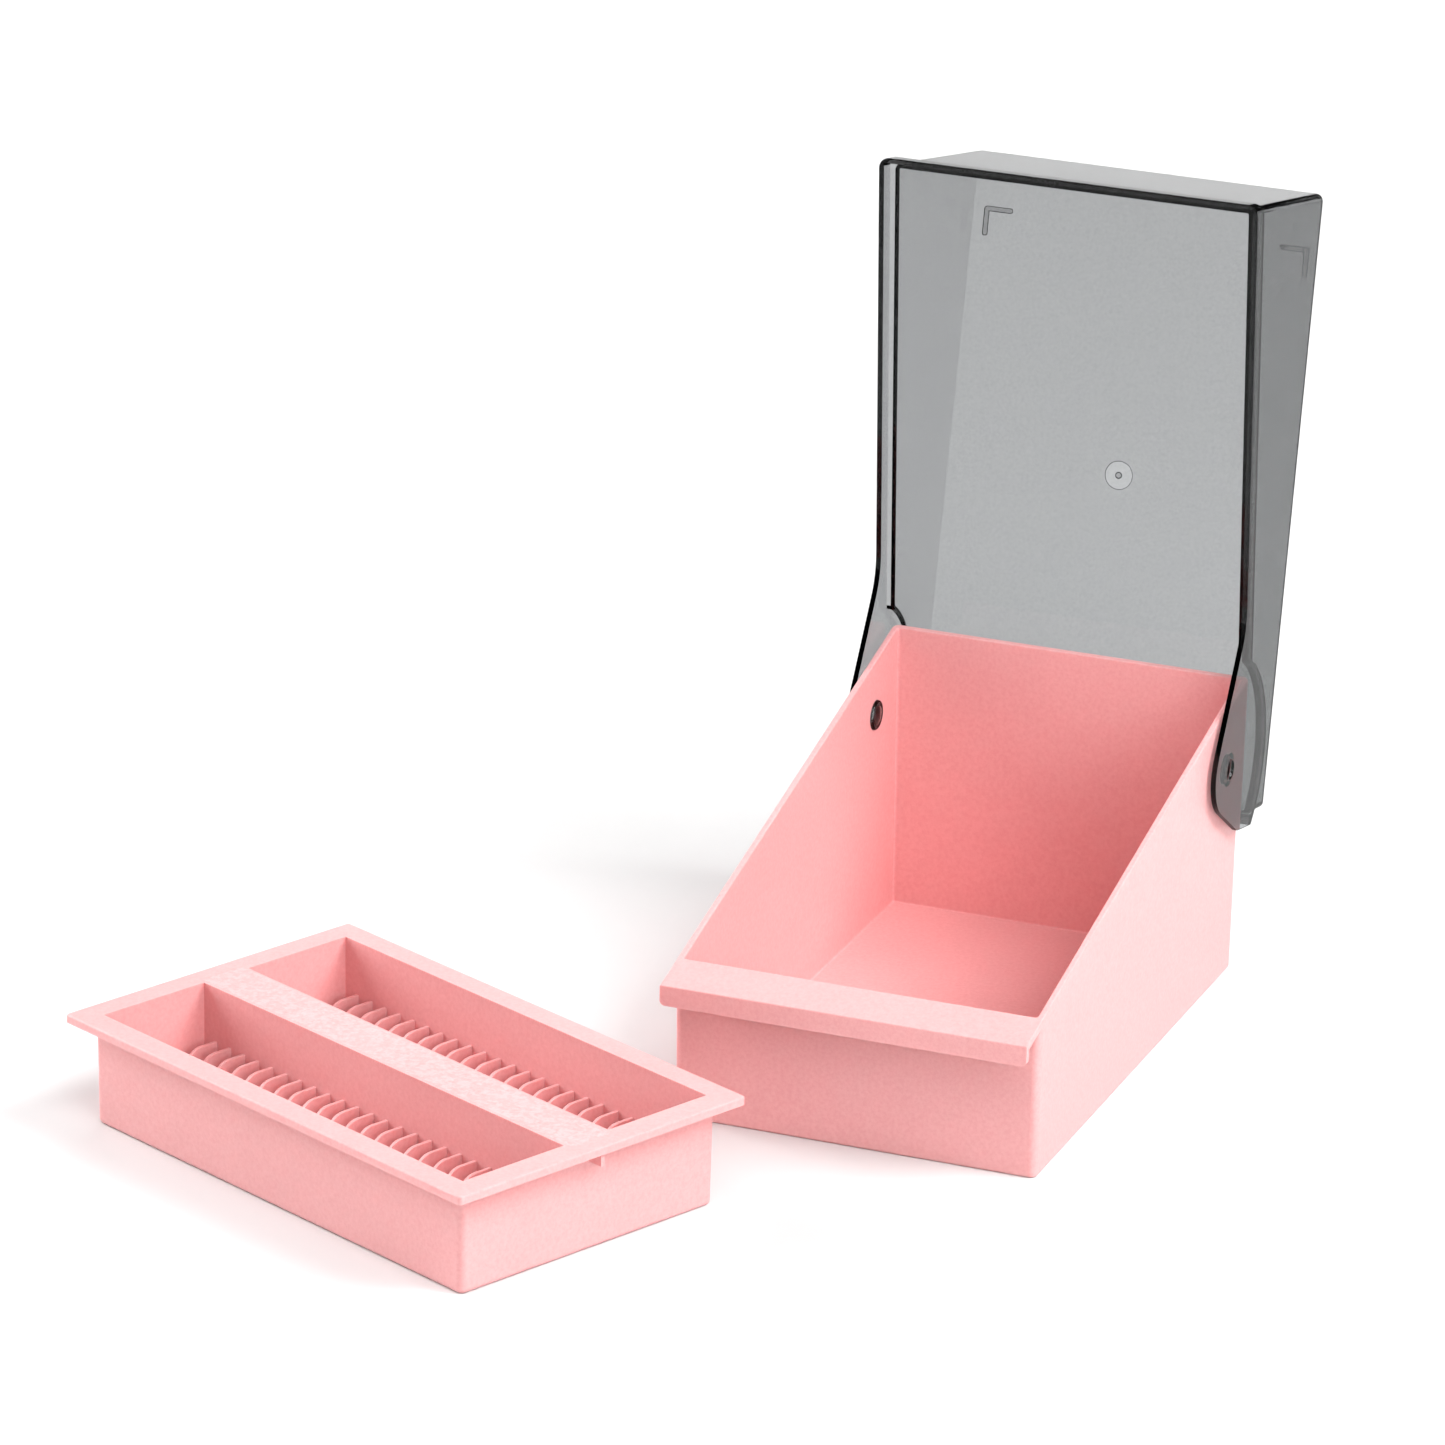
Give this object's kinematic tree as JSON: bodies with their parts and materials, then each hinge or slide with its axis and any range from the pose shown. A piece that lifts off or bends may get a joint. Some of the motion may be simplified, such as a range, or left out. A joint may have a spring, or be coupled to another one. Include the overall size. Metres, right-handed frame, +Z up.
{
  "type": "microscope slide storage box",
  "caption": "Desktop box for microscope slides: sloping pink bin, hinged smoked clear lid and lift-out slotted tray.",
  "frame": {"origin": "centre of the bin's flat underside, on the table plane", "axes": "+Z up, -Y towards the bin's low front edge with the finger lip, +X to the right seen from the front; the lid is swung open towards +Y and the tray stands on the table in front of the bin and to its left"},
  "size_m": [0.1969, 0.2771, 0.177],
  "materials": {
    "bin_pink": "moulded, fine satin",
    "tray_pink": "moulded, fine satin",
    "lid_smoke": "transparent smoke grey, polished"
  },
  "bodies": {
    "bin": {"bin": "bin_pink"},
    "lid": {"lid": "lid_smoke"},
    "tray": {"tray_shell": "tray_pink", "ribs_back_outer": "tray_pink", "ribs_back_inner": "tray_pink", "ribs_front_outer": "tray_pink", "ribs_front_inner": "tray_pink"}
  },
  "joints": [
    {"name": "lid_hinge", "type": "hinge", "parent": "bin", "child": "lid", "pos_m": [0, 0.0495, 0.0511], "axis": [1, 0, 0], "range_deg": [0, 101.6]},
    {"name": "tray_lift", "type": "slide", "parent": "bin", "child": "tray", "axis": [0, 0, 1], "range_m": [0, 0.1]}
  ]
}
